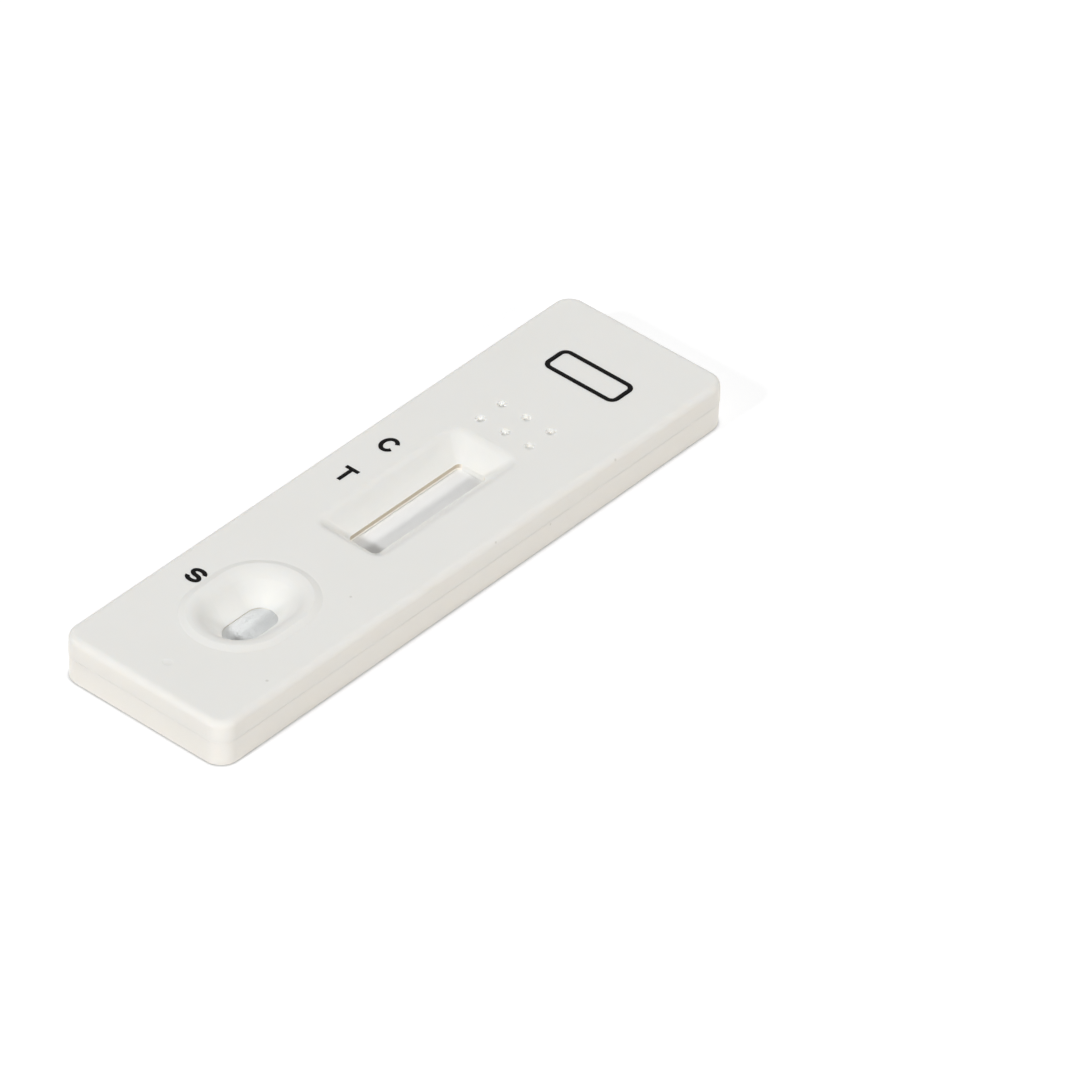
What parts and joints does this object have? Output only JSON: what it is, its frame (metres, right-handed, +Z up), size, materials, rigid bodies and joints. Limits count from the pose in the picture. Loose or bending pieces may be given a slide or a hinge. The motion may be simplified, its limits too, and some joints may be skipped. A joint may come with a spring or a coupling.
{
  "type": "lateral flow cassette",
  "caption": "Slim white rapid test case of two pressed covers, with an oval sample well, a sunk reading window and a layered test strip inside.",
  "frame": {"origin": "centre of the base, on the surface that the case lies on", "axes": "+X across the width, +Y along the length away from the sample well, +Z up through the top cover"},
  "size_m": [0.02, 0.07, 0.0052],
  "materials": {
    "case": "satin moulded white polystyrene",
    "card": "smooth white sheet",
    "membrane": "fine matt white nitrocellulose",
    "conjugate": "matt fibre pad, stained a dull red",
    "pad": "matt white fibre",
    "print": "black pad printing ink"
  },
  "bodies": {
    "root": {"top_cover": "case", "bottom_cover": "case", "backing_card": "card", "membrane": "membrane", "conjugate_pad": "conjugate", "sample_pad": "pad", "absorbent_pad": "pad"}
  },
  "joints": []
}
